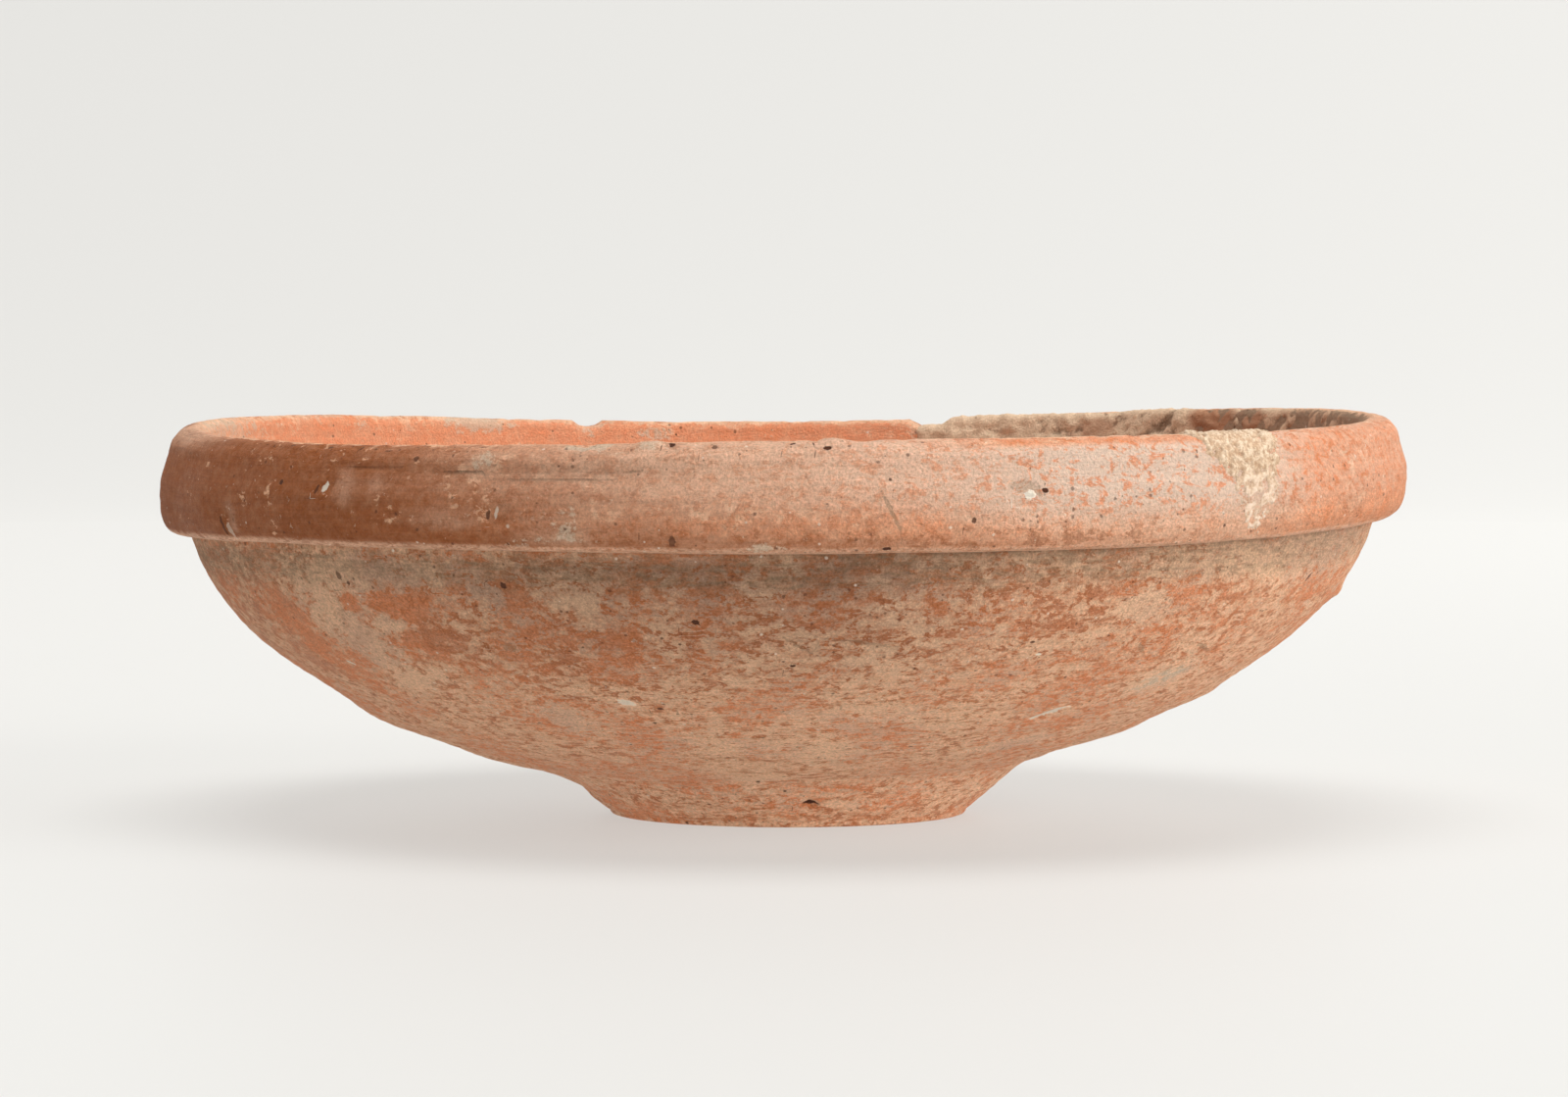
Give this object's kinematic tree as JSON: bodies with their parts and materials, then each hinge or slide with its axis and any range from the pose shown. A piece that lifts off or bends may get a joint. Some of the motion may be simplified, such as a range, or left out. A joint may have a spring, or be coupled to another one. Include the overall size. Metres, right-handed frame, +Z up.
{
  "type": "collared bowl",
  "caption": "Shallow turned table bowl with an upright collar round its rim and a low tapering foot, in worn red-slipped clay.",
  "frame": {"origin": "middle of the bowl's outline, on the plane that its foot stands on", "axes": "+Z up out of the bowl's mouth, -Y towards its front as pictured, +X to the right of that view"},
  "size_m": [0.1602, 0.1602, 0.0516],
  "materials": {
    "bowl": "worn satin red slip over pale orange clay, with matt beige lime crust in patches"
  },
  "bodies": {
    "root": {"bowl": "bowl"}
  },
  "joints": []
}
